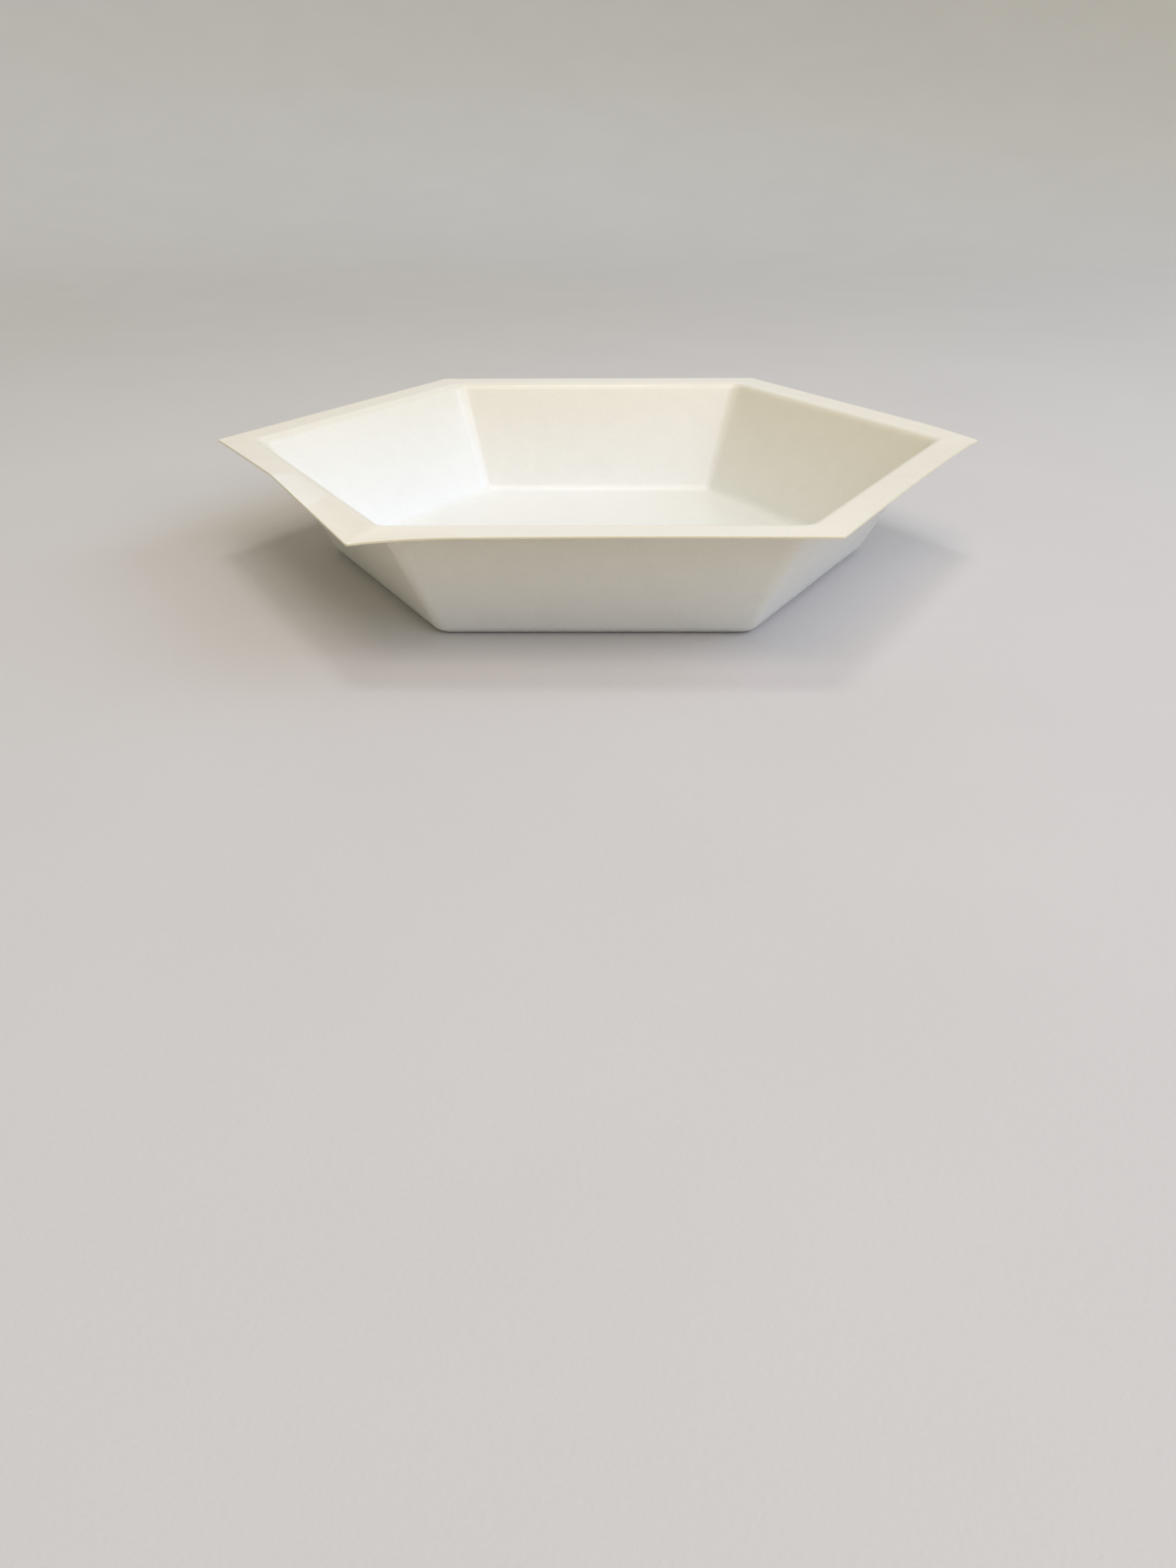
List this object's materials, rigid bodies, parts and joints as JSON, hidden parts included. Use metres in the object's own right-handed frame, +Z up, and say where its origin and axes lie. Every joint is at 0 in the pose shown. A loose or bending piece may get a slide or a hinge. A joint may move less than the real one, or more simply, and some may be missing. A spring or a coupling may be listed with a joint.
{
  "type": "weighing boat",
  "caption": "Shallow hexagonal weighing boat of thin ivory plastic sheet, with a flat base, sloping walls and a flat cut rim, for weighing out powders and liquids.",
  "frame": {"origin": "middle of the underside of the flat base, level with the surface that the boat stands on", "axes": "+Z up out of the dish, +X and -X through two opposite corners of the rim, -Y through the middle of the front side. The creased side lies between the -X corner and the front left corner"},
  "size_m": [0.1298, 0.1126, 0.0209],
  "materials": {
    "sheet": "satin ivory polystyrene sheet, slightly translucent, warmer at its cut edge"
  },
  "bodies": {
    "root": {"boat": "sheet"}
  },
  "joints": []
}
